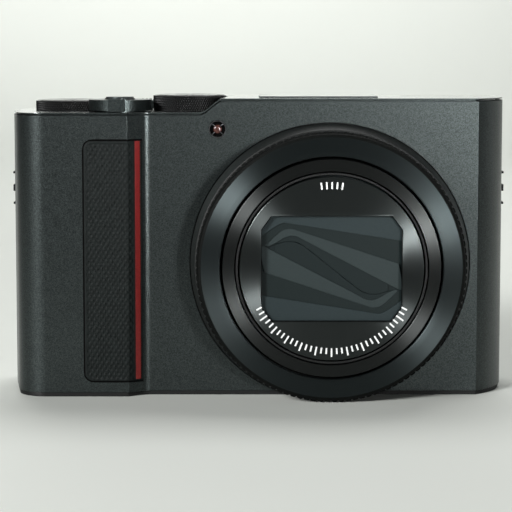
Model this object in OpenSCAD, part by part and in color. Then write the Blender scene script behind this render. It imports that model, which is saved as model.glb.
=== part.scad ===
// Compact digital camera with a retractable zoom lens.
// Millimetres. +Z up, -Y towards the subject, +X to the right when looking into the lens.
// The origin is the centre of the base face, on the plane that the camera stands on.

/* [Body] */
// Width of the casing
body_w = 111.2; // [110:0.2:112]
// Height of the lower deck, which carries the dials
deck_low = 63.3; // [63:0.1:63.5]
// Height of the upper deck, over the lens
deck_high = 66.4; // [66:0.1:66.5]
// Front face of the casing, measured forward from the mid-plane
front_face = 15; // [14.8:0.1:15.2]
// Back face of the casing, measured backward from the mid-plane
back_face = 14.5; // [14.4:0.1:14.8]
// How far the hand grip stands out of the front face
grip_out = 2.7; // [2.4:0.1:3]
// Wall thickness of the casings
wall = 1.3; // [1.1:0.1:1.4]
/* [Lens] */
// Lens axis, right of the middle of the casing
lens_x = 15.9; // [15.5:0.1:16.2]
// Lens axis, above the base
lens_z = 29.8; // [29.7:0.1:30.2]
// Radius of the control ring over its teeth
ring_r = 29.7; // [29.5:0.1:29.7]
// Width of the window in the lens front
window_w = 30.5; // [30:0.1:31]
// Height of the window in the lens front
window_h = 22.9; // [22.4:0.1:23.2]
/* [Dials] */
// Radius of the mode dial
mode_dial_r = 8.3; // [8:0.1:8.5]
// Radius of the control dial
control_dial_r = 8.6; // [8:0.1:8.7]
// Radius of the zoom lever's ring
lever_r = 7; // [6.8:0.1:7.2]
// Radius of the shutter button
shutter_r = 3.4; // [3.2:0.1:3.5]
/* [Screen] */
// Width of the screen's cover glass
screen_w = 72; // [68:0.5:72]
// Height of the screen's cover glass
screen_h = 46; // [44:0.5:46]

/* [Hidden] */
$fn = 96;
half_w = body_w / 2;

// ---- Casing ----
cover_foot = 0.95;               // lower edge of the front and rear covers
base_t = 0.9;
deck_t = 0.3;                    // thickness of the deck at its edge
deck_lip = 0.9;                  // its thickness inside the walls
cover_gap = 0.32;                // shadow gap between the covers and the deck
seam_y = -3;                     // seam between the front and rear covers
seam = 0.1;
grip_y = -front_face - grip_out;
grip_corner = [-47.2, -10.7];    // centre and radius of the rounding on the grip side
grip_corner_r = 7;
grip_side = 9;                   // the side leans in by this angle towards that rounding
crease_x = -29;                  // crease where the grip's flat face ends
right_corner = [36.74, -0.5];    // rounding on the other side, which meets the front at a crease
back_corner_r = 5;
foot_r = 1.8;                    // rounding of the lower corners, seen from the front
ramp_x = [-13.2, -7.6];          // ramp between the two decks

// ---- Lens ----
opening_r = 31.3;
collar_r = 31.1;
collar_flange_r = 32.3;
collar_lip_r = 29.95;
collar_front = -21.6;
housing_r = 27.2;
housing_bore_r = 24.15;
outer_r = 23.8;                  // outer lens barrel
outer_bore_r = 21.2;
inner_r = 20.9;                  // inner lens barrel
inner_bore_r = 20.4;
bezel_r = 20.05;
ring_tooth = 0.4;
ring_teeth = 120;
ring_bore_r = 27.26;
ring_back = -21.9;
ring_front = -26.8;

// ---- Lens barrier ----
pivot = [-14.8, 10.7];           // pivot of the upper blades, from the lens axis, in X and Z
blade_t = 0.22;
blade_pitch = 0.28;
blade_front = -26.2;             // front of the foremost blade
blade_r = 20.05;                 // radius that every blade keeps inside
pin_r = 0.5;
pin_hole_r = 0.56;
blade_gap = 0.12;                // gap along the seam between the two innermost blades
blade_open = [4.5, 12.5, 20.5, 31];     // how far each blade turns when the barrier opens
edge_slope = [8.9, 18.3, 27.6];  // slopes of the first three blades' lower edges
edge_start = [4.45, 6.2, 8];     // where each straight edge begins, from the pivot

// ---- Top controls: [x, y] on the deck ----
mode_dial_at = [-15.7, -0.5];
control_dial_at = [-42.7, 4.5];
lever_at = [-31.2, -7.5];
movie_at = [-29.5, 10.6];
power_at = [-25.5, 6.8];
scoop_r = 8.8;                   // hollow around the mode dial
well = 0.25;                     // depth of the wells that the dials sit in
post_r = 2;                      // posts that the dials turn on
running = 0.06;                  // clearance of the running fits

// ---- Flash ----
flash_x = [0.2, 26.8];
flash_y = [-8.2, 9.5];
flash_mid = 13.5;
front_pivot = [-5, 59.2];        // Y and Z of the front arms' bearing
rear_pivot = [-2, 61.6];
arm_l = 9;
arm_t = 0.8;
arm_pin_r = 0.5;

// ---- Back: [x, z] ----
screen_mid = [15, 27];
button_r = 2.3;
FN1_AT = [-28, 46];
FN2_AT = [-47, 41];
PLAY_AT = [-28, 39];
MENU_AT = [-29.5, 12.5];
DISPLAY_AT = [-46.5, 12.5];
FINDER_BUTTON_AT = [27.2, 57.5];
pad_at = [-38.5, 27];
pad_r = 9.5;
pad_bore_r = 4;
eyepiece_mid = [38.8, 57.4];
dioptre_at = [50, 58.5];
flash_switch_at = [17, 60.4];

// ---- Base and sides ----
socket_at = [36, 0];
socket_r = 3.175;
socket_depth = 5.5;
door_x = [-51.5, -21];
door_hinge = [9.3, 0.7];         // Y and Z of the battery door's axis
eyelet_at = [1, 45.6];           // Y and Z
port_hinge = [-54.95, -0.9];     // X and Y of the port door's axis
port_z = [14, 36];
screws_x = [-18, 2, 26, 50];     // base screws, along the chassis plate

module lamp_color() color([0.45, 0.08, 0.06]) children();
module body_color() color([0.16, 0.17, 0.19]) children();
module black() color([0.05, 0.05, 0.055]) children();
module satin() color([0.1, 0.1, 0.11]) children();
module steel() color([0.6, 0.61, 0.63]) children();
module glass() color([0.12, 0.16, 0.2]) children();
module red() color([0.8, 0.05, 0.04]) children();
module green() color([0.05, 0.3, 0.15]) children();

// A cylinder along Y, from y0 back to y1.
module disc(at, r, y0, y1, r2 = undef) {
    translate([at[0], y0, at[1]])
        rotate([-90, 0, 0])
            cylinder(r1 = r, r2 = is_undef(r2) ? r : r2, h = y1 - y0);
}
// A cylinder along X, from x0 to x1, at [y, z].
module rod(at, r, x0, x1) {
    translate([x0, at[0], at[1]])
        rotate([0, 90, 0])
            cylinder(r = r, h = x1 - x0);
}
module post(at, r, z0, z1) {
    translate([at[0], at[1], z0])
        cylinder(r = r, h = z1 - z0);
}
module block(x, y, z) {
    translate([x[0], y[0], z[0]])
        cube([x[1] - x[0], y[1] - y[0], z[1] - z[0]]);
}
// A solid of revolution about the lens axis. Its profile is [radius, y].
module turned(points) {
    translate([lens_x, 0, lens_z])
        rotate([90, 0, 0])
            rotate_extrude()
                polygon([for (p = points) [p[0], -p[1]]]);
}
// Extrudes a drawing in X and Z along Y, from y0 back to y1.
module along_y(y0, y1) {
    translate([0, y1, 0])
        rotate([90, 0, 0])
            linear_extrude(y1 - y0)
                children();
}
module rounded(size, r) {
    offset(r)
        square([size[0] - 2 * r, size[1] - 2 * r], center = true);
}

// Plan of the casing, drawn d inside its outer face.
// Where the leaning side, drawn in by d, meets the upright one.
function grip_bend(d) =
    (cos(grip_side) * (half_w - d + grip_corner[0]) + sin(grip_side) * grip_corner[1]
        - grip_corner_r + d) / sin(grip_side);

module plan(d = 0) {
    fillet = [-24, grip_y - 0.3];
    difference() {
        union() {
            translate(grip_corner) circle(grip_corner_r - d);
            for (s = [-1, 1])
                translate([s * (half_w - back_corner_r), back_face - back_corner_r])
                    circle(back_corner_r - d);
            intersection() {
                translate(right_corner) circle(half_w - right_corner[0] - d);
                translate([right_corner[0] - 20, -front_face + d])
                    square([40, front_face - d + right_corner[1]]);
            }
            polygon([
                [grip_corner[0], grip_y + d],
                [crease_x - 0.3 * d, grip_y + d],
                [-25.65 - 0.5 * d, -15.5 + 0.9 * d],
                [fillet[0], -front_face + d],
                [right_corner[0], -front_face + d],
                [right_corner[0], right_corner[1]],
                [half_w - d, right_corner[1]],
                [half_w - d, back_face - back_corner_r],
                [half_w - back_corner_r, back_face - d],
                [-half_w + back_corner_r, back_face - d],
                [-half_w + d, back_face - back_corner_r],
                [-half_w + d, grip_bend(d)],
                grip_corner - (grip_corner_r - d) * [cos(grip_side), sin(grip_side)],
            ]);
        }
        translate(fillet) circle(3 + d);
    }
}

// Outline of the casing seen from the front, up to the given deck heights.
module elevation(low, high) {
    steps = 10;
    polygon(concat(
        [for (a = [90:-15:0]) [-half_w + foot_r * (1 - sin(a)), foot_r * (1 - cos(a))]],
        [for (a = [0:15:90]) [half_w - foot_r * (1 - sin(a)), foot_r * (1 - cos(a))]],
        [[half_w + 1, foot_r], [half_w + 1, high]],
        [for (i = [steps:-1:0])
            [ramp_x[0] + (ramp_x[1] - ramp_x[0]) * i / steps,
             low + (high - low) * (1 - cos(180 * i / steps)) / 2]],
        [[-half_w - 1, low], [-half_w - 1, foot_r]]
    ));
}
module casing(low, high, d = 0) {
    intersection() {
        linear_extrude(high + 1) plan(d);
        along_y(-30, 30) elevation(low, high);
    }
}

module front_cover() body_color() {
    foot = deck_t + cover_gap;
    difference() {
        intersection() {
            difference() {
                casing(deck_low - foot, deck_high - foot);
                translate([0, 0, -1]) linear_extrude(80) plan(wall);
            }
            block([-60, 60], [-25, seam_y], [cover_foot, 80]);
        }
        disc([lens_x, lens_z], opening_r, -25, 0);
        disc([-9.1, 59.6], 2, -25, 0);
    }
}

module rear_cover() body_color() {
    foot = deck_t + cover_gap;
    difference() {
        intersection() {
            difference() {
                casing(deck_low - foot, deck_high - foot);
                translate([0, 0, -1]) linear_extrude(80) plan(wall);
            }
            block([-60, 60], [seam_y + seam, 25], [cover_foot, 80]);
        }
        along_y(5, 20)
            translate(screen_mid)
                square([screen_w + 0.4, screen_h + 0.4], center = true);
        for (at = [FN1_AT, FN2_AT, PLAY_AT, MENU_AT, DISPLAY_AT, FINDER_BUTTON_AT])
            disc(at, button_r + 0.1, 5, 20);
        disc(pad_at, pad_r + 0.1, 5, 20);
        disc(dioptre_at, 1.2 + running, 5, 20);
        along_y(5, 20) translate(eyepiece_mid) square([11.2, 7.2], center = true);
        along_y(5, 20) translate(flash_switch_at) square([5, 1.4], center = true);
        for (s = [-1, 1])
            block([s * half_w - 2, s * half_w + 2], [eyelet_at[0] - 1.9, eyelet_at[0] + 1.9],
                  [eyelet_at[1] - 3.85, eyelet_at[1] + 3.85]);
        block([-60, -50], [port_hinge[1] - 0.75, 8.6], [port_z[0] - 0.1, port_z[1] + 0.1]);
        translate([port_hinge[0], port_hinge[1], port_z[0] - 1.2])
            cylinder(r = 0.4 + running, h = port_z[1] - port_z[0] + 2.4);
    }
}

module top_cover() body_color() {
    difference() {
        union() {
            difference() {
                casing(deck_low, deck_high, 0.05);
                casing(deck_low - deck_t, deck_high - deck_t);
            }
            difference() {
                casing(deck_low - deck_t, deck_high - deck_t, wall + 0.15);
                casing(deck_low - deck_lip, deck_high - deck_lip);
            }
            intersection() {
                post(mode_dial_at, scoop_r + 0.7, deck_low - deck_lip, 80);
                casing(deck_low, deck_high, 0.05);
            }
        }
        block([-70, 70], [-40, 40], [-1, 60]);
        post(mode_dial_at, scoop_r, deck_low, 80);
        post(mode_dial_at, post_r + running, 50, 80);
        post(control_dial_at, post_r + running, 50, 80);
        post(control_dial_at, control_dial_r + 0.25, deck_low - well, 80);
        post(mode_dial_at, mode_dial_r + 0.25, deck_low - well, 80);
        post(lever_at, 5.5 + running, 50, 80);
        post(movie_at, 1.9 + running, 50, 80);
        block([power_at[0] - 4.4, power_at[0] + 1.4], [power_at[1] - 0.7, power_at[1] + 0.7],
              [50, 80]);
        block([flash_x[0] - 0.15, flash_x[1] + 0.15], [flash_y[0] - 0.15, flash_y[1] + 0.15],
              [50, 80]);
    }
}

module base_cover() black() {
    difference() {
        union() {
            intersection() {
                linear_extrude(base_t) plan(0.25);
                along_y(-30, 30) elevation(10, 10);
            }
            for (x = [door_x[0] - 1.7, door_x[1] + 0.3])
                block([x, x + 1.4], [door_hinge[0] - 1.2, door_hinge[0] + 1.2], [0, 2]);
        }
        disc([lens_x, lens_z], opening_r, -25, -13);
        block([door_x[0] - 0.15, door_x[1] + 0.15], [-11.15, door_hinge[0] + 0.85], [-1, 5]);
        rod(door_hinge, 0.4 + running, door_x[0] - 1.5, door_x[1] + 1.5);
        post(socket_at, 4.6, -1, 5);
        for (x = screws_x)
            post([x, 7.5], 1.3, -1, 5);
    }
}

// The rubber pad on the grip, and the coloured stripe along its edge, bend over the crease.
module grip_strip(x0, x1, z0, z1, proud) {
    translate([0, 0, z0])
        linear_extrude(z1 - z0)
            intersection() {
                difference() {
                    plan(-proud);
                    plan(-0.01);
                }
                translate([x0, -25]) square([x1 - x0, 12]);
            }
}
module grip_insert() black() {
    difference() {
        grip_strip(-39, -25.9, 3.2, 57.5, 0.3);
        grip_strip(-27.45, -26.25, 3.8, 57.1, 1);
    }
}
module grip_stripe() red() {
    grip_strip(-27.4, -26.3, 3.85, 57.05, 0.25);
}

module af_lamp() lamp_color() {
    disc([-9.1, 59.6], 1.93, -15.1, -12);
    disc([-9.1, 59.6], 2.8, -13.2, -12);
}

module lens_collar() black() {
    intersection() {
        turned([
            [housing_r + 0.1, -13.2], [collar_r, -13.2], [collar_r, -15.3],
            [collar_lip_r, collar_front], [housing_r + 0.1, collar_front],
        ]);
        block([-40, 70], [-30, 0], [0.35, 80]);
    }
    intersection() {
        turned([
            [housing_r + 0.1, -13.25], [collar_flange_r, -13.25], [collar_flange_r, -13.65],
            [housing_r + 0.1, -13.65],
        ]);
        block([-40, 70], [-30, 0], [1.5, 80]);
    }
}

module lens_housing() black() {
    turned([
        [housing_bore_r, 5.5], [housing_r, 5.5], [housing_r, -24.4], [housing_bore_r, -24.4],
    ]);
}

module control_ring() satin() {
    base = ring_r - ring_tooth;
    turned([
        [ring_bore_r, ring_back], [base, ring_back], [base, -25.6], [base - 0.15, -25.9],
        [28.55, -26.2], [25.7, -26.7], [24.6, ring_front], [24.4, -26.6], [24.4, -24.7],
        [ring_bore_r, -24.7],
    ]);
    translate([lens_x, ring_back, lens_z])
        rotate([90, 0, 0])
            linear_extrude(3.5)
                difference() {
                    polygon([for (i = [0:ring_teeth - 1]) for (k = [0:3])
                        let (a = (i + [0, 0.3, 0.5, 0.8][k]) * 360 / ring_teeth)
                        (k < 2 ? ring_r : base + 0.02) * [cos(a), sin(a)]]);
                    circle(base - 0.3);
                }
}

module barrel_outer() satin() {
    turned([
        [outer_bore_r, 1], [outer_r, 1], [outer_r, -26.88], [outer_r - 0.12, -27],
        [outer_bore_r + 0.12, -27], [outer_bore_r, -26.88],
    ]);
}
module barrel_inner() satin() {
    turned([
        [inner_bore_r, 0], [inner_r, 0], [inner_r, -27.15], [inner_r - 0.15, -27.3],
        [inner_bore_r + 0.15, -27.3], [inner_bore_r, -27.15],
    ]);
}

module window() {
    w = window_w / 2;
    h = window_h / 2;
    c = [2.2, 3];
    polygon([
        [-w + c[0], -h], [w - c[0], -h], [w, -h + c[1]], [w, h - c[1]],
        [w - c[0], h], [-w + c[0], h], [-w, h - c[1]], [-w, -h + c[1]],
    ]);
}
module front_bezel() black() {
    difference() {
        turned([
            [0, -26.3], [bezel_r, -26.3], [bezel_r, -27.38], [bezel_r - 0.12, -27.5],
            [0, -27.1],
        ]);
        along_y(-30, -20) translate([lens_x, lens_z]) window();
    }
}

// A blade's lower edge runs straight from the rim towards the pivot, and ends in its hub.
// The two innermost blades share a seam, bent alike at both ends.
function edge_point(k, l) = pivot + l * [cos(edge_slope[k - 1]), -sin(edge_slope[k - 1])];
function hub(k) =
    k == 1 ? [[-11.5, 9.6], [-13.4, 8.4], [-15.2, 7.1], [-19.8, 7.4]] :
    k == 2 ? [[-10.6, 8.5], [-11.6, 7.8], [-12.7, 6.8], [-14.9, 4.6], [-19.8, 5.2]] :
             [[-9, 7.1], [-10.5, 6.55], [-12.6, 5.3], [-13.8, 4.75], [-14.8, 5.05], [-19.8, 7.65]];
module blade_area(k) {
    bend = k == 4 ? 5.7 : 1.2;
    offset(bend)
        offset(-2 * bend)
            offset(bend)
                if (k == 4)
                    translate([0, blade_gap / 2])
                        polygon([[40, 3], [40, 40], [-40, 40], [-40, -3], [-8, 6.4], [8, -6.4]]);
                else
                    polygon(concat([edge_point(k, 40), [40, 40], [-40, 40],
                                    [-40, hub(k)[len(hub(k)) - 1][1]]],
                                   [for (i = [len(hub(k)) - 1:-1:0]) hub(k)[i]],
                                   [edge_point(k, edge_start[k - 1])]));
}
module blade_outline(k) {
    difference() {
        intersection() {
            circle(blade_r);
            blade_area(k);
            turned_in(k);
        }
        translate(pivot) circle(pin_hole_r);
    }
}
// The part of the disc that stays inside the barrel when the blade has turned by its full angle.
module turned_in(k) {
    translate(pivot)
        rotate(-blade_open[k - 1])
            translate(-pivot)
                circle(blade_r);
}
module blade(side, k) satin() {
    y0 = blade_front + (k - 1) * blade_pitch;
    along_y(y0, y0 + blade_t)
        translate([lens_x, lens_z])
            rotate(side == "lower" ? 180 : 0)
                blade_outline(k);
}
module barrier_base() black() {
    difference() {
        disc([lens_x, lens_z], 20.2, -25.05, -24.4);
        disc([lens_x, lens_z], 9.6, -30, -20);
    }
    for (s = [-1, 1])
        disc([lens_x + s * pivot[0], lens_z + s * pivot[1]], pin_r, -26.25, -25);
}
module front_lens() glass() {
    translate([lens_x, 0, lens_z])
        intersection() {
            rotate([90, 0, 0]) cylinder(r = 13, h = 60, center = true);
            translate([0, 5.8, 0]) sphere(30);
            block([-20, 20], [-24.2, -19], [-20, 20]);
        }
}
module rear_lens_group() black() {
    turned([[0, 1.4], [11, 1.4], [11, 5.4], [16, 5.4], [16, 4.4], [12, 4.4], [12, -6], [0, -6]]);
}
module image_sensor() green() {
    along_y(6.6, 7.6) translate([lens_x, lens_z]) square([19, 16], center = true);
    along_y(6.4, 6.7) translate([lens_x, lens_z]) square([13.2, 8.8], center = true);
}

// A dial with fine straight teeth, a bevelled top and a post below.
module dial(at, r, z0, z1, teeth) {
    translate([at[0], at[1], 0]) {
        translate([0, 0, z0])
            linear_extrude(z1 - z0 - 0.2)
                polygon([for (i = [0:teeth - 1]) for (k = [0:1])
                    (k == 0 ? r : r - 0.25) * [cos((i + k / 2) * 360 / teeth),
                                               sin((i + k / 2) * 360 / teeth)]]);
        translate([0, 0, z1 - 0.21]) cylinder(r1 = r - 0.3, r2 = r - 0.5, h = 0.21);
        translate([0, 0, 58]) cylinder(r = post_r, h = z0 - 57.9);
    }
}
module mode_dial() black() dial(mode_dial_at, mode_dial_r, deck_low - 0.1, 66.9, 90);
module control_dial() black() dial(control_dial_at, control_dial_r, deck_low - 0.1, 65.6, 90);

module zoom_lever() black() {
    difference() {
        union() {
            post(lever_at, lever_r, deck_low + 0.3, 66);
            post(lever_at, 5.5, 60, 65);
            hull() {
                block([-33.4, -29.6], [-13.5, -13], [deck_low + 0.3, 66]);
                block([-33.3, -29.7], [-16.4, -16], [deck_low + 0.15, 66.3]);
            }
        }
        post(lever_at, shutter_r + 0.2, 59, 80);
    }
}
module shutter_button() satin() {
    post(lever_at, shutter_r, 61.6, 66.3);
    post(lever_at, shutter_r - 0.25, 66.2, 66.6);
    post(lever_at, 1, 57.5, 62);
}
function coil(i, r, pitch, per) = [r * cos(i * 360 / per), r * sin(i * 360 / per), i * pitch / per];
module spring(r, wire, pitch, turns) {
    per = 14;
    sides = 6;
    n = per * turns;
    pts = [for (i = [0:n]) for (s = [0:sides - 1])
        let (c = coil(i, r, pitch, per), a = i * 360 / per, b = s * 360 / sides)
        [c[0] + wire * cos(b) * cos(a), c[1] + wire * cos(b) * sin(a), c[2] + wire * sin(b)]];
    sides_faces = [for (i = [0:n - 1]) for (s = [0:sides - 1])
        [i * sides + s, (i + 1) * sides + s, (i + 1) * sides + (s + 1) % sides,
         i * sides + (s + 1) % sides]];
    polyhedron(pts, concat(sides_faces, [[for (s = [0:sides - 1]) s]],
                           [[for (s = [sides - 1:-1:0]) n * sides + s]]));
}
module shutter_spring() steel() {
    translate([lever_at[0], lever_at[1], 57.1]) spring(2.4, 0.2, 0.72, 4);
}
module power_switch() black() {
    block([power_at[0] - 2, power_at[0] + 2], [power_at[1] - 1.75, power_at[1] + 1.75],
          [deck_low + 0.2, 65.4]);
    for (i = [0:3])
        block([power_at[0] - 1.6 + i * 0.9, power_at[0] - 1.1 + i * 0.9],
              [power_at[1] - 1.75, power_at[1] + 1.75], [65.3, 65.8]);
    block([power_at[0] - 1, power_at[0] + 1], [power_at[1] - 0.5, power_at[1] + 0.5], [61, 64]);
}
module movie_button() satin() {
    post(movie_at, 1.9, 61.5, 63.9);
    post(movie_at, 2.5, 61, 62.2);
}

module flash_head() black() {
    block(flash_x, flash_y, [65.9, 66.7]);
    block([6, 21], [-6.4, 6], [62.2, 66]);
    for (s = [-1, 1]) {
        ear = flash_mid + s * 10.6;
        block([ear - 0.3, ear + 0.3], [2.6, 8.6], [58.2, 66]);
        rod(front_pivot + [arm_l, 0], arm_pin_r, min(ear, ear + s * 1.5), max(ear, ear + s * 1.5));
        rod(rear_pivot + [arm_l, 0], arm_pin_r - 0.05, min(ear, ear - s * 1.5),
            max(ear, ear - s * 1.5));
    }
}
module arms(at, x) {
    for (s = [-1, 1])
        translate([flash_mid + s * x, at[0], at[1]])
            rotate([90, 0, 90])
                translate([0, 0, -arm_t / 2])
                    difference() {
                        union() {
                            cylinder(r = 1, h = arm_t);
                            translate([arm_l, 0, 0]) cylinder(r = 1, h = arm_t);
                            translate([0, -0.8, 0]) cube([arm_l, 1.6, arm_t]);
                        }
                        translate([0, 0, -1]) cylinder(r = arm_pin_r + running, h = 3);
                        translate([arm_l, 0, -1]) cylinder(r = arm_pin_r + running, h = 3);
                    }
}
module flash_front_arm() steel() arms(front_pivot, 11.6);
module flash_rear_arm() steel() arms(rear_pivot, 9.5);
module flash_switch() black() {
    along_y(13, 15.1) translate(flash_switch_at + [-0.6, 0]) square([2.4, 1.2], center = true);
    along_y(12, 13.1) translate(flash_switch_at + [-0.6, 0]) square([3.6, 2.4], center = true);
}

module screen_glass() glass() {
    along_y(13.5, 14.8) translate(screen_mid) square([screen_w, screen_h], center = true);
}
module screen_panel() satin() {
    along_y(10.6, 13.4) translate(screen_mid) square([screen_w - 3, screen_h - 3], center = true);
}
module eyepiece_frame() black() {
    difference() {
        along_y(back_face, 17.7) translate(eyepiece_mid) rounded([15.6, 10.6], 1.5);
        along_y(10, 20) translate(eyepiece_mid) square([11.2, 7.2], center = true);
    }
}
module eyepiece_lens() glass() {
    along_y(12.5, 15.8) translate(eyepiece_mid) square([11, 7], center = true);
}
module dioptre_dial() black() {
    translate([dioptre_at[0], 14.6, dioptre_at[1]])
        rotate([-90, 0, 0])
            linear_extrude(1.8)
                polygon([for (i = [0:29]) for (k = [0:1])
                    (k == 0 ? 2.8 : 2.6) * [cos((i + k / 2) * 12), sin((i + k / 2) * 12)]]);
    disc(dioptre_at, 1.2, 11.5, 14.7);
}
module thumb_rest() black() {
    difference() {
        along_y(back_face, 15.6) translate([-44, 52]) rounded([16, 12], 2.5);
        for (i = [0:5])
            block([-49, -39], [15.2, 17], [47.9 + i * 1.5, 48.6 + i * 1.5]);
    }
}

module push_button(at) {
    disc(at, button_r, 12.2, 15);
    disc(at, button_r + 0.7, 11.9, 12.7);
}
module viewfinder_button() satin() push_button(FINDER_BUTTON_AT);
module fn1_button() satin() push_button(FN1_AT);
module fn2_button() satin() push_button(FN2_AT);
module playback_button() satin() push_button(PLAY_AT);
module menu_button() satin() push_button(MENU_AT);
module display_button() satin() push_button(DISPLAY_AT);
module cursor_pad() satin() {
    difference() {
        union() {
            disc(pad_at, pad_r, 12.1, 15.2);
            disc(pad_at, pad_r + 0.8, 11.9, 12.7);
        }
        disc(pad_at, pad_bore_r, 5, 20);
    }
}
module set_button() satin() {
    disc(pad_at, pad_bore_r - 0.1, 11, 15.4);
    disc(pad_at, pad_bore_r + 0.8, 10.6, 11.3);
}

module battery_door() black() {
    difference() {
        union() {
            block(door_x, [-11, door_hinge[0]], [0.1, 1.2]);
            rod(door_hinge, 0.7, door_x[0], door_x[1]);
            rod(door_hinge, 0.4, door_x[0] - 1.3, door_x[1] + 1.3);
        }
        block([-41.1, -31.4], [-9.6, -6.4], [-1, 0.8]);
    }
}
module door_latch() satin() {
    block([-41, -34], [-9.5, -6.5], [0.15, 0.7]);
}
module battery() black() {
    block([-50.5, -15.5], [-13.2, -5.7], [3, 46]);
}
module memory_card() black() {
    block([-45, -21], [-4.8, -2.7], [4, 36]);
}
module port_door() body_color() {
    block([-55.6, -54.6], [port_hinge[1], 8.5], port_z);
    post(port_hinge, 0.65, port_z[0], port_z[1]);
    post(port_hinge, 0.4, port_z[0] - 1.1, port_z[1] + 1.1);
}
module strap_eyelets() steel() {
    for (s = [-1, 1])
        difference() {
            block(s > 0 ? [half_w - 1.8, half_w + 0.6] : [-half_w - 0.6, -half_w + 1.8],
                  [eyelet_at[0] - 1.8, eyelet_at[0] + 1.8],
                  [eyelet_at[1] - 3.75, eyelet_at[1] + 3.75]);
            for (k = [-1, 1])
                block(s > 0 ? [half_w - 0.8, half_w + 1] : [-half_w - 1, -half_w + 0.8],
                      [eyelet_at[0] - 2, eyelet_at[0] + 2],
                      [eyelet_at[1] + k * 2 - 1.25, eyelet_at[1] + k * 2 + 1.25]);
        }
}
module tripod_socket() steel() {
    difference() {
        post(socket_at, 4.5, 0.1, 0.1 + socket_depth + 0.8);
        post(socket_at, socket_r, 0, 0.1 + socket_depth);
    }
}
module chassis() steel() {
    difference() {
        union() {
            block([-19, 53], [5.7, 6.3], [3, 57]);
            for (x = screws_x)
                post([x, 7.5], 1.6, 1.2, 5);
            for (x = screws_x)
                block([x - 1.6, x + 1.6], [6, 8], [3, 4.5]);
            block([0, 27], [-7, 6.3], [57, 57.8]);
            for (s = [-1, 1])
                block([flash_mid + s * 10.6 - 0.3, flash_mid + s * 10.6 + 0.3], [-6.5, -0.6],
                      [57.5, 63]);
            for (s = [-1, 1]) {
                a = flash_mid + s * 10.6;
                rod(front_pivot, arm_pin_r, min(a, a + s * 1.5), max(a, a + s * 1.5));
                rod(rear_pivot, arm_pin_r, min(a, a - s * 1.6), max(a, a - s * 1.6));
            }
        }
        disc([lens_x, lens_z], 11.5, 0, 10);
        for (x = screws_x)
            post([x, 7.5], 0.7, 0, 6);
    }
}
module main_board() green() {
    block([-51, 52], [8.9, 9.7], [6, 55]);
    block([-12, -4], [7.4, 9], [40, 48]);
    block([38, 46], [7.2, 9], [20, 34]);
    block([-45, -35], [7.2, 9], [10, 20]);
    block([-46, -42], [6, 9], [30, 40]);
}
module case_screws() steel() {
    for (x = screws_x) {
        difference() {
            post([x, 7.5], 1.2, 0.2, 0.9);
            block([x - 0.7, x + 0.7], [7.35, 7.65], [0, 0.5]);
            block([x - 0.15, x + 0.15], [6.8, 8.2], [0, 0.5]);
        }
        post([x, 7.5], 0.65, 0.8, 4.5);
    }
}

front_cover();
rear_cover();
top_cover();
base_cover();
grip_insert();
grip_stripe();
af_lamp();
lens_collar();
control_ring();
lens_housing();
barrel_outer();
barrel_inner();
front_bezel();
blade("upper", 1);  // barrier_blade_upper_1
blade("upper", 2);  // barrier_blade_upper_2
blade("upper", 3);  // barrier_blade_upper_3
blade("upper", 4);  // barrier_blade_upper_4
blade("lower", 1);  // barrier_blade_lower_1
blade("lower", 2);  // barrier_blade_lower_2
blade("lower", 3);  // barrier_blade_lower_3
blade("lower", 4);  // barrier_blade_lower_4
barrier_base();
front_lens();
rear_lens_group();
image_sensor();
mode_dial();
control_dial();
zoom_lever();
shutter_button();
shutter_spring();
power_switch();
movie_button();
flash_head();
flash_front_arm();
flash_rear_arm();
flash_switch();
screen_glass();
screen_panel();
eyepiece_frame();
eyepiece_lens();
dioptre_dial();
thumb_rest();
viewfinder_button();
fn1_button();
fn2_button();
menu_button();
playback_button();
display_button();
cursor_pad();
set_button();
battery_door();
door_latch();
battery();
memory_card();
port_door();
strap_eyelets();
tripod_socket();
chassis();
main_board();
case_screws();
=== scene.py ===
"""The compact camera's looks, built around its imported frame."""

import math

import bpy
import numpy as np
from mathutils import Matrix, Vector


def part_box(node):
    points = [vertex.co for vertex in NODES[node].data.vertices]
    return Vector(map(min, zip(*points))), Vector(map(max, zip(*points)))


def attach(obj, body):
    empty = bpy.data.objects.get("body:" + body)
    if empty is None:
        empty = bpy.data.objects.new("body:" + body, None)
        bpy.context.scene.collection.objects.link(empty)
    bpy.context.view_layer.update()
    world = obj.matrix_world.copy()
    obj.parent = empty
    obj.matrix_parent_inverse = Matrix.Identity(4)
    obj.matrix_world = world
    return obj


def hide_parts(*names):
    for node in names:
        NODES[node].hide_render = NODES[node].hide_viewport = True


MM = 0.001
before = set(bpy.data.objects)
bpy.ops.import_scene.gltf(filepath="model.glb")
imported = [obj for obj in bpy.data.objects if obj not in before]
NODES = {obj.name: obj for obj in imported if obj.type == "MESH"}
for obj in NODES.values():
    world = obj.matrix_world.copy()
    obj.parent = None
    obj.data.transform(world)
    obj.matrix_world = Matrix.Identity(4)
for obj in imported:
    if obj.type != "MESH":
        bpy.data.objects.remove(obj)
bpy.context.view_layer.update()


def box_mm(node):
    """A CAD node's lowest and highest corners, in millimetres."""
    low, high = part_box(node)
    return low / MM, high / MM


def middle(node):
    low, high = box_mm(node)
    return (low + high) / 2


TAU = 2 * math.pi
LENS = middle("control_ring")
DECK_LOW = 63.3     # height of the low deck, which both dials rise from


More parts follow.
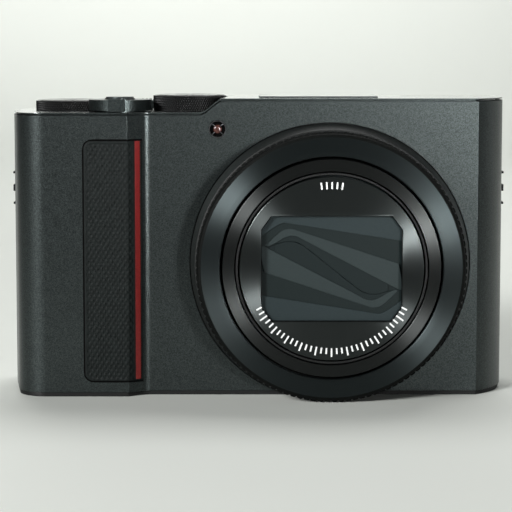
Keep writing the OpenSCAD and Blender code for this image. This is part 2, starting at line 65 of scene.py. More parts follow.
# ---------------------------------------------------------------- materials
class Paint:
    """A Principled material with short calls for the procedural nodes that it needs."""

    def __init__(self, name, colour, roughness, metallic=0.0, **sockets):
        self.material = bpy.data.materials.new(name)
        self.material.use_nodes = True
        self.tree = self.material.node_tree
        self.shader = self.tree.nodes["Principled BSDF"]
        self.shader.inputs["Base Color"].default_value = (*colour, 1)
        self.shader.inputs["Roughness"].default_value = roughness
        self.shader.inputs["Metallic"].default_value = metallic
        for key, value in sockets.items():
            self.shader.inputs[key.replace("_", " ")].default_value = value
        self.coordinates = self.add("ShaderNodeTexCoord").outputs["Object"]

    def add(self, kind, **settings):
        node = self.tree.nodes.new(kind)
        for key, value in settings.items():
            setattr(node, key, value)
        return node

    def join(self, source, target):
        self.tree.links.new(source, target)

    def noise(self, size, detail=2.0, stretch=(1, 1, 1)):
        """Noise whose features are about size millimetres across."""
        mapping = self.add("ShaderNodeMapping")
        mapping.inputs["Scale"].default_value = [s / (size * MM) for s in stretch]
        self.join(self.coordinates, mapping.inputs["Vector"])
        noise = self.add("ShaderNodeTexNoise")
        noise.inputs["Scale"].default_value = 1.0
        noise.inputs["Detail"].default_value = detail
        self.join(mapping.outputs[0], noise.inputs["Vector"])
        return noise.outputs["Fac"]

    def flakes(self, size):
        """Random values in cells about size millimetres across."""
        mapping = self.add("ShaderNodeMapping")
        mapping.inputs["Scale"].default_value = [1 / (size * MM)] * 3
        self.join(self.coordinates, mapping.inputs["Vector"])
        cells = self.add("ShaderNodeTexVoronoi")
        cells.inputs["Scale"].default_value = 1.0
        self.join(mapping.outputs[0], cells.inputs["Vector"])
        split = self.add("ShaderNodeSeparateColor")
        self.join(cells.outputs["Color"], split.inputs[0])
        return split.outputs[0]

    def radius(self, axis):
        """Distance in metres from the piece's own axis."""
        flat = self.add("ShaderNodeVectorMath", operation="MULTIPLY")
        flat.inputs[1].default_value = [0 if i == "XYZ".index(axis) else 1 for i in range(3)]
        self.join(self.coordinates, flat.inputs[0])
        length = self.add("ShaderNodeVectorMath", operation="LENGTH")
        self.join(flat.outputs[0], length.inputs[0])
        return length.outputs["Value"]

    def rings(self, axis, pitch):
        """Fine machining marks round the axis: noise that depends on the radius alone."""
        scaled = self.add("ShaderNodeMath", operation="MULTIPLY")
        scaled.inputs[1].default_value = 1 / (pitch * MM)
        self.join(self.radius(axis), scaled.inputs[0])
        noise = self.add("ShaderNodeTexNoise", noise_dimensions="1D")
        noise.inputs["Scale"].default_value = 1.0
        noise.inputs["Detail"].default_value = 2.0
        self.join(scaled.outputs[0], noise.inputs["W"])
        return noise.outputs["Fac"]

    def spread(self, fac, low, high, socket="Roughness"):
        """Sets a value socket from fac, between low and high."""
        ramp = self.add("ShaderNodeMapRange")
        ramp.inputs["From Min"].default_value = 0.3
        ramp.inputs["From Max"].default_value = 0.7
        ramp.inputs["To Min"].default_value = low
        ramp.inputs["To Max"].default_value = high
        self.join(fac, ramp.inputs["Value"])
        self.join(ramp.outputs[0], self.shader.inputs[socket])
        return self

    def tint(self, fac, low, high, start=0.3, end=0.7):
        """Sets the base colour from fac, between two colours."""
        ramp = self.add("ShaderNodeValToRGB")
        ramp.color_ramp.elements[0].position = start
        ramp.color_ramp.elements[0].color = (*low, 1)
        ramp.color_ramp.elements[1].position = end
        ramp.color_ramp.elements[1].color = (*high, 1)
        self.join(fac, ramp.inputs[0])
        self.join(ramp.outputs[0], self.shader.inputs["Base Color"])
        return self

    def bump(self, fac, height, strength=1.0):
        """Raises the surface by up to height millimetres where fac is high."""
        bump = self.add("ShaderNodeBump")
        bump.inputs["Strength"].default_value = strength
        bump.inputs["Distance"].default_value = height * MM
        self.join(fac, bump.inputs["Height"])
        self.join(bump.outputs[0], self.shader.inputs["Normal"])
        return self

    def turned(self, axis, amount):
        """Stretches highlights outward from the piece's own axis, as on a turned surface."""
        tangent = self.add("ShaderNodeTangent", direction_type="RADIAL", axis=axis)
        self.shader.inputs["Anisotropic"].default_value = amount
        self.shader.inputs["Anisotropic Rotation"].default_value = 0.25
        self.join(tangent.outputs[0], self.shader.inputs["Tangent"])
        return self


def casing_paint(name="casing_paint", **sockets):
    paint = Paint(name, (0.03, 0.033, 0.036), 0.4, 0.85, **sockets)
    flakes = paint.flakes(0.14)
    paint.tint(flakes, (0.016, 0.0205, 0.0200), (0.047, 0.0575, 0.0568), 0.1, 1.0)
    paint.spread(paint.noise(0.35), 0.32, 0.42)
    return paint.bump(paint.noise(0.3, 3), 0.026, 0.8).material


def turned_metal(name, colour, axis="Y", roughness=(0.26, 0.34), amount=0.9, **sockets):
    paint = Paint(name, colour, 0.3, 0.9, **sockets)
    rings = paint.rings(axis, 0.05)
    paint.spread(rings, *roughness)
    return paint.turned(axis, amount).bump(rings, 0.002, 0.4).material


def dial_metal(name):
    return turned_metal(name, (0.010, 0.0105, 0.0105), "Z", Coat_Weight=0.25, Coat_Roughness=0.2)


def moulded(name, colour, roughness=(0.42, 0.58), grain=0.08, height=0.01, specular=0.5):
    paint = Paint(name, colour, 0.5, Specular_IOR_Level=specular)
    paint.spread(paint.noise(0.6), *roughness)
    darker = [c * 0.75 for c in colour]
    paint.tint(paint.noise(3.0), darker, colour)
    return paint.bump(paint.noise(grain, 2), height).material


def rubber(name):
    paint = Paint(name, (0.0035, 0.0055, 0.0052), 0.42, Specular_IOR_Level=0.12)
    paint.tint(paint.noise(1.5), (0.0042, 0.0058, 0.0055), (0.0064, 0.0088, 0.0084))
    paint.spread(paint.noise(0.25), 0.5, 0.68)
    return paint.bump(paint.noise(0.07, 3), 0.012).material


def stripe_red():
    paint = Paint("stripe_red", (0.115, 0.005, 0.0045), 0.34, 0.12)
    paint.tint(paint.noise(0.5), (0.145, 0.0075, 0.0065), (0.19, 0.010, 0.009))
    paint.spread(paint.noise(0.3), 0.3, 0.42)
    return paint.bump(paint.noise(0.1), 0.004).material


def blade_metal(name, colour):
    paint = Paint(name, colour, 0.45, 0.0, Specular_IOR_Level=0.12)
    grain = paint.noise(0.5, 3, (1, 1, 9))
    paint.tint(grain, [c * 0.85 for c in colour], [c * 1.12 for c in colour])
    paint.spread(grain, 0.36, 0.48)
    return paint.bump(paint.noise(0.08), 0.003).material


def bare_metal(name, colour, roughness=(0.25, 0.4), stretch=(1, 1, 8)):
    paint = Paint(name, colour, 0.3, 1.0)
    paint.spread(paint.noise(0.3, 3, stretch), *roughness)
    paint.tint(paint.noise(1.2), [c * 0.85 for c in colour], colour)
    return paint.bump(paint.noise(0.15, 2, stretch), 0.003).material


def dark_glass(name, colour):
    paint = Paint(name, colour, 0.06, 0.0, Coat_Weight=0.6, Coat_Roughness=0.03)
    paint.tint(paint.noise(20), [c * 0.7 for c in colour], colour)
    paint.spread(paint.noise(6), 0.04, 0.08)
    return paint.bump(paint.noise(8), 0.001, 0.2).material


def clear_glass(name, colour):
    paint = Paint(name, colour, 0.03, 0.0, Transmission_Weight=0.85, IOR=1.6, Coat_Weight=0.4)
    paint.tint(paint.noise(12), colour, [min(1, c * 1.15) for c in colour])
    return paint.bump(paint.noise(10), 0.0005, 0.2).material


def circuit_board():
    paint = Paint("circuit_board", (0.01, 0.08, 0.035), 0.45)
    paint.tint(paint.flakes(1.4), (0.008, 0.06, 0.025), (0.02, 0.13, 0.06))
    paint.spread(paint.noise(1.0), 0.35, 0.6)
    return paint.bump(paint.flakes(0.7), 0.03).material


def lamp_red():
    paint = Paint("lamp_red", (0.16, 0.03, 0.025), 0.3, 0.0, Coat_Weight=0.3)
    paint.tint(paint.noise(0.45), (0.018, 0.005, 0.004), (0.075, 0.026, 0.02))
    return paint.bump(paint.noise(0.3), 0.01).material


def print_white(name, colour=(0.72, 0.74, 0.73)):
    paint = Paint(name, colour, 0.6)
    paint.tint(paint.noise(0.4), [c * 0.9 for c in colour], colour)
    return paint.bump(paint.noise(0.1), 0.002).material


PAINT = casing_paint(Coat_Weight=0.1, Coat_Roughness=0.35)
DECK = casing_paint("deck_paint", Coat_Weight=1.0, Coat_Roughness=0.12)
RUBBER = rubber("grip_rubber")
STRIPE = stripe_red()
BLACK = moulded("black_plastic", (0.014, 0.015, 0.015))
DIAL_SIDE = moulded("dial_black", (0.003, 0.0033, 0.0033), (0.4, 0.5), 0.1, 0.002, 0.2)
BASE = moulded("base_plastic", (0.006, 0.0065, 0.0065), (0.5, 0.6), specular=0.2)
BUTTON = moulded("button_plastic", (0.022, 0.024, 0.025), (0.3, 0.42), 0.1, 0.004)
LEVER = casing_paint("lever_paint")
RING = turned_metal("ring_black", (0.031, 0.0385, 0.0395), roughness=(0.42, 0.46), amount=1.0)
COLLAR = moulded("collar_black", (0.007, 0.0085, 0.008), (0.5, 0.6), 0.1, 0.003, 0.25)
# A darker, duller copy of the ring's black metal for its knurl: painted shade over the teeth, which
# hides their lit edges.
KNURL_SHADE = moulded("knurl_painted_shade", (0.003, 0.0035, 0.0032), (0.55, 0.65), 0.1, 0.003, 0.05)
BARREL = turned_metal("barrel_black", (0.032, 0.0345, 0.034), roughness=(0.34, 0.38), amount=1.0)
BEZEL = turned_metal("bezel_black", (0.050, 0.0565, 0.056), roughness=(0.28, 0.32), amount=1.0)
# Near-black and almost unreflective: painted shade for the pad's groove, the lamp well, the window wall
# and the lens housing.
SHADE_BLACK = moulded("painted_shade_black", (0.002, 0.002, 0.002), (0.7, 0.85), specular=0.03)
BLADES = [blade_metal(f"blade_{i + 1}", c) for i, c in enumerate([
    (0.018, 0.0262, 0.0278), (0.0078, 0.0125, 0.0126), (0.0215, 0.0296, 0.0300),
    (0.0076, 0.0122, 0.0125)])]
STEEL = bare_metal("steel", (0.55, 0.56, 0.57))
DARK_STEEL = bare_metal("dark_steel", (0.12, 0.125, 0.13))
SCREEN = dark_glass("screen_glass", (0.006, 0.007, 0.009))
OPTIC = clear_glass("optic_glass", (0.75, 0.85, 0.95))
BOARD = circuit_board()
LAMP = lamp_red()
WHITE = print_white("white_print")


# ---------------------------------------------------------------- mesh helpers
def make(name, vertices, faces, material, body, smooth=35, bevel=0.0, segments=2,
         origin=(0, 0, 0)):
    """A mesh piece from points in millimetres, with its own origin. It rides on a body."""
    mesh = bpy.data.meshes.new(name)
    mesh.from_pydata([[(c - o) * MM for c, o in zip(v, origin)] for v in vertices], [], faces)
    mesh.validate()
    mesh.update()
    piece = bpy.data.objects.new(name, mesh)
    piece.location = [o * MM for o in origin]
    bpy.context.scene.collection.objects.link(piece)
    mesh.materials.append(material)
    mesh.polygons.foreach_set("use_smooth", [True] * len(mesh.polygons))
    if bevel:
        round_edges(piece, bevel, segments)
    else:
        mesh.set_sharp_from_angle(angle=math.radians(smooth))
    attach(piece, body)
    return piece


def round_edges(piece, width, segments=2, angle=20):
    """Rounds the hard edges, and lets the large faces keep their shading."""
    bevel = piece.modifiers.new("round_edges", "BEVEL")
    bevel.width = width * MM
    bevel.segments = segments
    bevel.limit_method = "ANGLE"
    bevel.angle_limit = math.radians(angle)
    shade = piece.modifiers.new("flat_faces", "WEIGHTED_NORMAL")
    shade.weight = 60
    shade.keep_sharp = False


def polish(node, material, width=0.12, segments=2, angle=20):
    """Gives a CAD node its material and soft edges. Its own mesh stays as it is."""
    piece = NODES[node]
    piece.data.materials.clear()
    piece.data.materials.append(material)
    piece.data.polygons.foreach_set("use_smooth", [True] * len(piece.data.polygons))
    weld = piece.modifiers.new("weld", "WELD")
    weld.merge_threshold = 0.002 * MM
    flat = piece.modifiers.new("flat", "DECIMATE")
    flat.decimate_type = "DISSOLVE"
    flat.angle_limit = math.radians(0.6)
    round_edges(piece, width, segments, angle)
    return piece


def grid_faces(rows, columns, wrap_rows=False, wrap_columns=True):
    """Faces of a grid of points stored row by row."""
    faces = []
    for i in range(rows if wrap_rows else rows - 1):
        for j in range(columns if wrap_columns else columns - 1):
            a, b = i % rows, (i + 1) % rows
            c, d = j % columns, (j + 1) % columns
            faces.append((a * columns + c, b * columns + c, b * columns + d, a * columns + d))
    return faces


def around(profile, centre, axis="Y", segments=256, ripple=None):
    """Points of a closed profile of (radius, height) turned round a line. ripple adds to the radius."""
    points = []
    for r, h in profile:
        for j in range(segments):
            a = TAU * j / segments
            rr = r + (ripple(a, r, h) if ripple else 0)
            u, v = rr * math.cos(a), rr * math.sin(a)
            if axis == "Y":
                points.append((centre[0] + u, h, centre[2] + v))
            else:
                points.append((centre[0] + u, centre[1] + v, h))
    return points


def soften(profile, cut=0.12):
    """Cuts the corners of a closed profile, so that its edges catch the light."""
    out = []
    n = len(profile)
    for i in range(n):
        before, here, after = (Vector(profile[(i + k) % n]) for k in (-1, 0, 1))
        for other in (before, after):
            way = other - here
            out.append(tuple(here + way.normalized() * min(cut, way.length * 0.4)))
    return out


def turned_piece(name, profile, material, body, replaces, centre=LENS, axis="Y",
                 segments=256, ripple=None, cut=0.12, smooth=28):
    """A piece made by turning a closed profile round an axis through the centre."""
    loop = soften(profile, cut) if cut else profile
    points = around(loop, centre, axis, segments, ripple)
    piece = make(name, points, grid_faces(len(loop), segments, wrap_rows=True), material, body,
                 smooth, origin=centre)
    if replaces:
        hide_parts(*replaces)
    return piece


def wave(x):
    """A triangle wave from 0 to 1 with a period of 1."""
    return 1 - abs(2 * (x - math.floor(x)) - 1)


# ---------------------------------------------------------------- lens
def control_ring():
    """The knurled ring. Its profile is refined over the knurl, where the teeth start and end."""
    low, high = box_mm("control_ring")
    tooth_count, tooth_depth = 120, 0.4
    segments = 8 * tooth_count
    top = (high.x - low.x) / 2
    base = top - tooth_depth
    y0, y1 = high.y, low.y
    knurl = [(base, y0 - 0.02), (base, y0 - 0.05)] + [
        (top, y) for y in np.linspace(y0 - 0.12, y0 - 3.42, 7)
    ] + [(base, y0 - 3.5), (base, y0 - 3.6)]
    profile = [(27.3, y0), (base - 0.15, y0), *knurl,
               (base, y1 + 1.2), (base - 0.15, y1 + 0.9), (28.75, y1 + 0.68),
               (28.55, y1 + 0.6), (28.3, y1 + 0.556), (25.9, y1 + 0.135), (25.7, y1 + 0.1),
               (25.5, y1 + 0.082), (24.72, y1 + 0.01), (24.55, y1 + 0.03), (24.42, y1 + 0.16),
               (24.4, y1 + 0.3), (24.4, y1 + 2.1), (27.3, y1 + 2.1)]

    def teeth(a, r, h):
        if r < top - 0.01:
            return 0
        return -tooth_depth * (1 - min(1.0, 2.2 * wave(a * tooth_count / TAU)))

    piece = turned_piece("control_ring_knurled", profile, RING, "control_ring", ["control_ring"],
                         segments=segments, ripple=teeth, cut=0, smooth=24)
    # The knurl's faces get the darker knurl material: painted shade on the teeth.
    piece.data.materials.append(KNURL_SHADE)
    for i, face in enumerate(piece.data.polygons):
        if i // segments < 1 + len(knurl) + 4:
            face.material_index = 1


def collar():
    """The fixed sleeve behind the ring, cut level with the casing's foot."""
    low, high = box_mm("lens_collar")
    profile = [(27.35, -13.25), (32.3, -13.25), (32.3, -13.65), (31.1, -13.65), (31.1, -15.2),
               (31.05, -15.6), (30.02, -21.25), (29.93, -21.5), (29.7, -21.6), (27.35, -21.6)]
    segments = 256
    points = around(profile, LENS, segments=segments)
    points = [(x, y, max(z, low.z if y < -14 else 1.5)) for x, y, z in points]
    piece = make("lens_collar_turned", points, grid_faces(len(profile), segments, True), COLLAR,
                 "root", 24, origin=LENS)
    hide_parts("lens_collar")


def tube(name, node, body, bore, lip, material):
    """A lens barrel: its front lip is rounded, and its bore is stepped with light traps."""
    low, high = box_mm(node)
    r = (high.x - low.x) / 2
    front, back = low.y, high.y
    traps = []
    for i in range(5):
        y = front + 3.2 + i * 0.8
        traps += [(bore, y), (bore + 0.06, y + 0.2), (bore + 0.06, y + 0.5)]
    profile = [(r, back), (r, front + lip), (r - 0.3 * lip, front + 0.3 * lip),
               (r - lip, front), (r - lip - 0.04, front), (bore + lip + 0.04, front),
               (bore + lip, front), (bore + 0.3 * lip, front + 0.3 * lip),
               (bore, front + lip),
               *traps, (bore, back)]
    turned_piece(name, profile, material, body, [node], segments=320, cut=0)


def window_point(a, w, h, c):
    """Where a ray at angle a meets the window: a rectangle with cut corners."""
    u, v = math.cos(a), math.sin(a)
    cut_w, cut_h = c
    nx, nz = cut_h, cut_w
    reach = (w * cut_h + h * cut_w - cut_w * cut_h) / max(abs(u) * nx + abs(v) * nz, 1e-9)
    options = [reach]
    if abs(u) > 1e-9:
        options.append(w / abs(u))
    if abs(v) > 1e-9:
        options.append(h / abs(v))
    return min(options)


def bezel():
    """The lens front: a slightly dished disc with the barrier's window."""
    low, high = box_mm("front_bezel")
    r = (high.x - low.x) / 2
    front, back = low.y, high.y
    w, h, corner = 15.25, 11.45, (2.2, 3.0)
    special = []
    for sx in (-1, 1):
        for sz in (-1, 1):
            special.append(math.atan2(sz * (h - corner[1]), sx * w))
            special.append(math.atan2(sz * h, sx * (w - corner[0])))
    angles = sorted({round(a % TAU, 6) for a in special} | {round(TAU * i / 256, 6) for i in range(256)})
    rows = []

    def dished(d):
        return front + 0.005 + 0.024 * (r - 0.4 - d)

    def ring_row(radius, y):
        rows.append([(LENS.x + radius * math.cos(a), y, LENS.z + radius * math.sin(a))
                     for a in angles])

    def window_row(grow, sink=None):
        row = []
        for a in angles:
            d = window_point(a, w + grow, h + grow, corner)
            y = back if sink is None else dished(d) + sink
            row.append((LENS.x + d * math.cos(a), y, LENS.z + d * math.sin(a)))
        rows.append(row)

    ring_row(r, back)
    ring_row(r, front + 0.12)
    ring_row(r - 0.03, front + 0.04)
    ring_row(r - 0.12, front)
    ring_row(r - 0.4, front + 0.005)
    for t in (0.33, 0.66, 0.9):
        row = []
        for a in angles:
            d0 = r - 0.4
            d1 = window_point(a, w + 0.28, h + 0.28, corner)
            d = d0 + (d1 - d0) * t
            row.append((LENS.x + d * math.cos(a), dished(d), LENS.z + d * math.sin(a)))
        rows.append(row)
    window_row(0.22, 0)
    window_row(0.12, 0.01)
    window_row(0.1, 0.06)
    window_row(0.0, 0.25)
    window_row(0.0)
    points = [p for row in rows for p in row]
    piece = make("front_bezel_dished", points, grid_faces(len(rows), len(angles), True), BEZEL,
                 "barrel_inner", 24, origin=LENS)
    # The window's wall rows get the near-black material: a painted shade outline round the window.
    piece.data.materials.append(SHADE_BLACK)
    for i, face in enumerate(piece.data.polygons):
        if i // len(angles) >= len(rows) - 3:
            face.material_index = 1
    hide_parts("front_bezel")


def bezel_ticks():
    """A plain scale of white ticks round the lens front, in place of lettering."""
    low, high = box_mm("front_bezel")
    inner, half_width, gap = 17.4, 0.17, 3.6
    ticks = [(270 + gap * k, 1.3 if k % 3 else 1.9) for k in range(-17, 18)]
    ticks += [(90 + gap * k, 1.5) for k in range(-2, 3)]
    points, faces = [], []
    for degrees, length in ticks:
        a = math.radians(degrees)
        out, side = Vector((math.cos(a), 0, math.sin(a))), Vector((-math.sin(a), 0, math.cos(a)))
        b = len(points)
        for y in (low.y + 0.2, low.y + 0.01):
            for d, s in ((inner, -half_width), (inner, half_width),
                         (inner + length, half_width), (inner + length, -half_width)):
                p = out * d + side * s
                points.append((LENS.x + p.x, y, LENS.z + p.z))
        faces += [tuple(b + k for k in f) for f in
                  ((4, 5, 6, 7), (0, 4, 7, 3), (3, 7, 6, 2), (2, 6, 5, 1), (1, 5, 4, 0), (3, 2, 1, 0))]
    make("bezel_ticks", points, faces, WHITE, "barrel_inner")


# ---------------------------------------------------------------- grip
def grip_path(x):
    """How far forward the casing stands at x, over the grip's flat face, crease and slope."""
    crease, flat_y = -29.0, -17.7
    end, end_y = -25.65, -15.5
    if x <= crease:
        return flat_y, 0.0
    slope = (end_y - flat_y) / (end - crease)
    return flat_y + (x - crease) * slope, slope


def steps(low, high, step):
    """Evenly spaced values from low to high, about a step apart."""
    return list(np.linspace(low, high, round((high - low) / step) + 1))


def grip_insert():
    """The rubber pad in its groove, with raised dots on its flat face and a slot for the stripe."""
    low, high = box_mm("grip_insert")
    slot_low, slot_high = box_mm("grip_stripe")
    x0, x1 = low.x, high.x
    s0, s1 = slot_low.x - 0.05, slot_high.x + 0.05
    z0, z1 = slot_low.z - 0.05, slot_high.z + 0.05
    xs = steps(x0, s0, 0.12) + steps(s0, s1, 0.3)[1:] + steps(s1, x1, 0.09)[1:]
    zs = steps(low.z, z0, 0.1) + steps(z0, z1, 0.15)[1:] + steps(z1, high.z, 0.1)[1:]
    corner = 2.2
    mid, half = (low + high) / 2, (high - low) / 2
    rows = []
    for z in zs:
        for x in xs:
            y, slope = grip_path(x)
            dx = max(abs(x - mid.x) - half.x + corner, 0) if x < mid.x else 0
            dz = max(abs(z - mid.z) - half.z + corner, 0)
            inset = min(x - x0, z - low.z, high.z - z)
            if dx and dz:
                inset = min(inset, corner - math.hypot(dx, dz))
            rise = min(1.0, max(0.0, (inset - 0.3) / 0.2))
            lift = -0.03 if inset < 0 else 0.015 + 0.265 * math.sin(rise * math.pi / 2)
            if inset > 0.9:
                u, v = (x - x0) / 1.07, (z - low.z) / 1.76
                dot = min(wave(u + v), wave(u - v))
                lift = 0.17 + 0.12 * min(1.0, max(0.0, dot - 0.25) / 0.5)
            if x > s0 - 0.5:
                lift = 0.22
            n = math.hypot(1, slope)
            rows.append((x + slope * lift / n, y - lift / n, z))
    nx, nz = len(xs), len(zs)
    faces = []
    for i in range(nz - 1):
        for j in range(nx - 1):
            in_slot = s0 - 1e-6 < xs[j] < s1 - 1e-6 and z0 - 1e-6 < zs[i] < z1 - 1e-6
            if not in_slot:
                a = i * nx + j
                faces.append((a, a + 1, a + nx + 1, a + nx))
    piece = make("grip_pad_textured", rows, faces, RUBBER, "root", 60)
    # The pad's sunk groove faces and its edge faces get the near-black material: painted shade in the
    # groove.
    piece.data.materials.append(SHADE_BLACK)
    for face in piece.data.polygons:
        y, slope = grip_path(face.center.x / MM)
        if face.center.x / MM < x0 + 0.4 or y - face.center.y / MM < 0.09:
            face.material_index = 1
        if face.center.z / MM > high.z - 0.4 or face.center.z / MM < low.z + 0.4:
            face.material_index = 1
    wall = piece.modifiers.new("wall", "SOLIDIFY")
    wall.thickness = 0.02 * MM
    wall.offset = -1
    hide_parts("grip_insert")


# ---------------------------------------------------------------- dials
def knurled_dial(name, node, material, teeth, rows_of_teeth):
    """A dial with a diamond knurl on its side, a bevelled rim and a sunk, ringed top."""
    depth = 0.22
    segments = teeth * 6
    low, high = box_mm(node)
    mid = (low + high) / 2
    r = (high.x - low.x) / 2
    top = high.z
    foot = max(low.z, DECK_LOW - 0.1)
    grip_low, grip_high = foot + 0.25, top - 0.22
    pitch = (grip_high - grip_low) / rows_of_teeth
    side = [(r, z) for z in np.linspace(grip_low, grip_high, rows_of_teeth * 4 + 1)]
    profile = [(r - 0.5, foot), (r - 0.22, foot), (r - 0.18, foot + 0.2), *side,
               (r - 0.24, top - 0.19), (r - 0.3, top - 0.14), (r - 0.48, top),
               (r - 1.2, top), (r - 1.35, top - 0.12), (r - 1.5, top - 0.12),
               (r - 1.7, top - 0.02), (0.9, top - 0.02), (0.7, top - 0.15), (0.02, top - 0.15),
               (0.02, foot)]

    def knurl(a, rr, z):
        if abs(rr - r) > 1e-6:
            return 0
        u = a * teeth / TAU
        v = (z - grip_low) / pitch
        return -depth * (1 - min(1.0, 1.5 * min(wave(u + v / 2), wave(u - v / 2))))

    piece = turned_piece(name, profile, material, node, None,
                         centre=mid, axis="Z", segments=segments, ripple=knurl, cut=0, smooth=30)
    piece.data.materials.append(DIAL_SIDE)
    for i, face in enumerate(piece.data.polygons):
        if i // segments < len(side) + 4:
            face.material_index = 1
    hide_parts(node)


def letters(text, size, at, turn, body, material, name):
    """One generic mark lying flat on a dial."""
    curve = bpy.data.curves.new(name, "FONT")
    curve.body = text
    curve.size = size * MM
    curve.align_x = "CENTER"
    curve.align_y = "CENTER"
    curve.extrude = 0.01 * MM
    mark = bpy.data.objects.new(name, curve)
    bpy.context.scene.collection.objects.link(mark)
    mark.location = [c * MM for c in at]
    mark.rotation_euler = (0, 0, turn)
    curve.materials.append(material)
    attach(mark, body)


def mode_marks():
    """Eight generic marks round the top of the mode dial."""
    low, high = box_mm("mode_dial")
    mid = (low + high) / 2
    r = (high.x - low.x) / 2 - 2.9
    for i, mark in enumerate(["P", "A", "S", "M", "1", "2", "3", "4"]):
        a = TAU * i / 8
        at = (mid.x + r * math.cos(a), mid.y + r * math.sin(a), high.z - 0.015)
        letters(mark, 1.9, at, a - math.pi / 2, "mode_dial", WHITE, f"mode_mark_{i}")


# ---------------------------------------------------------------- lamp
def focus_lamp():
    """A small red lens in a well painted near-black as shade, held by four diagonal ribs inside a bright
    rim.
    """
    low, high = box_mm("af_lamp")
    mid = (low + high) / 2
    front = low.y
    rim = [(1.93, front + 1.2), (1.93, front + 0.1), (1.87, front), (1.78, front),
           (1.72, front + 0.1), (1.7, front + 1.2)]
    turned_piece("focus_lamp_rim", rim, DARK_STEEL, "root", None, centre=mid,
                 segments=96, cut=0)
    well = [(1.72, front + 1.2), (1.72, front + 0.25), (1.3, front + 0.8), (0.02, front + 0.8),
            (0.02, front + 1.2)]
    # The well's near-black is painted shade in the recess.
    turned_piece("focus_lamp_well", well, SHADE_BLACK, "root", None, centre=mid,
                 segments=64, cut=0)
    dome = [(0.95, front + 1.1), (0.95, front + 0.55), (0.85, front + 0.42), (0.65, front + 0.32),
            (0.35, front + 0.26), (0.02, front + 0.24), (0.02, front + 1.1)]
    lens = turned_piece("focus_lamp_lens", dome, LAMP, "root", None, centre=mid,
                        segments=64, cut=0)
    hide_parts("af_lamp")
    points, faces = [], []
    for i in range(4):
        a = math.radians(45 + 90 * i)
        u, v = Vector((math.cos(a), 0, math.sin(a))), Vector((-math.sin(a), 0, math.cos(a)))
        for d in (0.85, 1.7):
            for s in (-0.09, 0.09):
                for y in (front + 0.12, front + 0.5):
                    p = u * d + v * s
                    points.append((mid.x + p.x, y, mid.z + p.z))
        b = i * 8
        faces += [tuple(b + k for k in f) for f in
                  ((0, 2, 6, 4), (1, 5, 7, 3), (0, 4, 5, 1), (2, 3, 7, 6), (0, 1, 3, 2), (4, 6, 7, 5))]
    make("focus_lamp_ribs", points, faces, DARK_STEEL, "root", bevel=0.03)


# ---------------------------------------------------------------- all pieces
control_ring()
collar()
tube("outer_barrel_lipped", "barrel_outer", "barrel_outer", 21.2, 0.12, BARREL)
tube("inner_barrel_lipped", "barrel_inner", "barrel_inner", 20.4, 0.15, BASE)
bezel()
grip_insert()
knurled_dial("mode_dial_knurled", "mode_dial", dial_metal("mode_dial_metal"), 96, 6)
knurled_dial("control_dial_knurled", "control_dial", dial_metal("control_dial_metal"), 100, 4)
mode_marks()
bezel_ticks()
focus_lamp()

CAD_LOOKS = [
    (PAINT, 0.15, ["front_cover"]),
    (DECK, 0.08, ["top_cover"]),
    (PAINT, 0.25, ["rear_cover", "port_door"]),
    (DECK, 0.1, ["flash_head"]),
    (BASE, 0.15, ["base_cover", "battery_door"]),
    (BLACK, 0.15, ["eyepiece_frame", "flash_switch", "dioptre_dial", "rear_lens_group"]),
    # The lens housing is painted near-black as shade inside the lens.
    (SHADE_BLACK, 0.1, ["lens_housing"]),
    (BLADES[3], 0.1, ["barrier_base"]),
    (STRIPE, 0.06, ["grip_stripe"]),
    *[(BLADES[k], 0.04, [f"barrier_blade_{side}_{k + 1}" for side in ("upper", "lower")])
      for k in range(4)],
    (RUBBER, 0.2, ["thumb_rest"]),
    (LEVER, 0.15, ["zoom_lever", "shutter_button", "power_switch"]),
    (BUTTON, 0.15, ["movie_button", "fn1_button",
                    "fn2_button", "menu_button", "playback_button", "display_button",
                    "cursor_pad", "set_button", "viewfinder_button", "door_latch"]),
    (SCREEN, 0.2, ["screen_glass"]),
    (OPTIC, 0.1, ["front_lens", "eyepiece_lens"]),
    (STEEL, 0.08, ["flash_front_arm", "flash_rear_arm", "shutter_spring", "tripod_socket",
                   "chassis"]),
    (BASE, 0.08, ["strap_eyelets"]),
    (DARK_STEEL, 0.08, ["case_screws"]),
    (BOARD, 0.05, ["main_board", "image_sensor"]),
    (BLACK, 0.3, ["battery", "memory_card", "screen_panel"]),
]
for look, width, names in CAD_LOOKS:
    for node_name in names:
        polish(node_name, look, width)


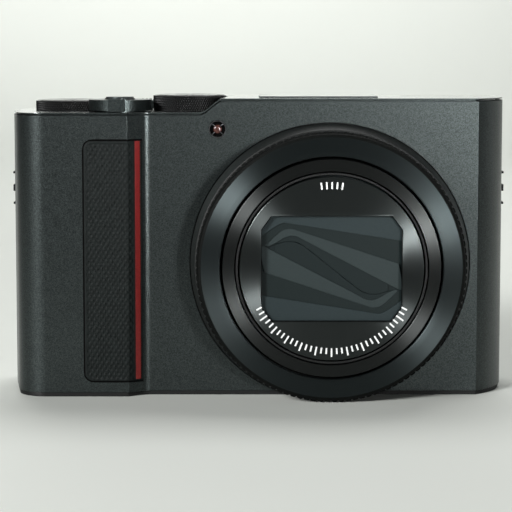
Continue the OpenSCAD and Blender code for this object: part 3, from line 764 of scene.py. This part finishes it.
# ---------------------------------------------------------------- stage
def stage():
    """A pale sweep: a floor that curves up into a backdrop."""
    front, bend, radius, height, half_width = -0.14, 0.9, 0.7, 2.4, 2.5
    profile = [(front, 0.0), (bend, 0.0)]
    for i in range(1, 13):
        a = math.radians(90 * i / 12)
        profile.append((bend + radius * math.sin(a), radius * (1 - math.cos(a))))
    profile.append((bend + radius, height))
    points = [(x, y, z) for y, z in profile for x in (-half_width, half_width)]
    mesh = bpy.data.meshes.new("sweep")
    mesh.from_pydata(points, [], [tuple(reversed(f)) for f in
                                  grid_faces(len(profile), 2, False, False)])
    mesh.polygons.foreach_set("use_smooth", [True] * len(mesh.polygons))
    sweep = bpy.data.objects.new("sweep", mesh)
    bpy.context.scene.collection.objects.link(sweep)
    paper = Paint("sweep_paper", (0.665, 0.688, 0.646), 0.7)
    paper.bump(paper.noise(2.0), 0.02, 0.3)
    mesh.materials.append(paper.material)


def area(name, at, target, size, power, spread=180):
    """A rectangular lamp that faces the target. Places are in metres."""
    light = bpy.data.lights.new(name, "AREA")
    light.spread = math.radians(spread)
    light.shape = "RECTANGLE"
    light.size, light.size_y = size
    light.energy = power
    lamp = bpy.data.objects.new(name, light)
    lamp.location = at
    lamp.rotation_mode = "QUATERNION"
    lamp.rotation_quaternion = (Vector(at) - Vector(target)).to_track_quat("Z", "Y")
    bpy.context.scene.collection.objects.link(lamp)


def lights():
    world = bpy.data.worlds.new("studio")
    world.use_nodes = True
    background = world.node_tree.nodes["Background"]
    background.inputs["Color"].default_value = (0.80, 0.83, 0.80, 1)
    background.inputs["Strength"].default_value = 0.02
    bpy.context.scene.world = world
    area("backdrop_box", (0.55, 0.9, 1.1), (0.65, 1.6, 0.3), (2.0, 0.3), 6.7)
    area("top_box", (0.1, 0.5, 1.0), (0, 0, 0), (0.9, 0.5), 7.2)
    area("right_box", (0.55, -1.0, 0.12), (0.2, 0, 0.36), (0.3, 0.14), 5.6, 40)
    area("upper_right_box", (0.50, -1.0, 0.36), (0.2, 0, 0.5), (0.3, 0.25), 3.2, 40)
    area("upper_left_box", (-0.72, -0.86, 0.44), (0, 0, 0.08), (0.3, 0.3), 2.2, 60)
    area("right_edge_panel", (0.8, 0.3, 0.2), (0, 0, 0.05), (0.4, 0.5), 0.1, 90)


def camera():
    cam = bpy.data.cameras.new("camera")
    cam.sensor_width = 36
    cam.lens = 144.14
    cam.clip_start = 0.02
    cam.clip_end = 20
    viewer = bpy.data.objects.new("camera", cam)
    viewer.location = (-0.00057, -0.470, 0.07915)
    viewer.rotation_euler = (math.radians(90 - 6.0), 0, 0)
    bpy.context.scene.collection.objects.link(viewer)
    bpy.context.scene.camera = viewer


stage()
lights()
camera()
bpy.context.scene.view_settings.view_transform = "Standard"
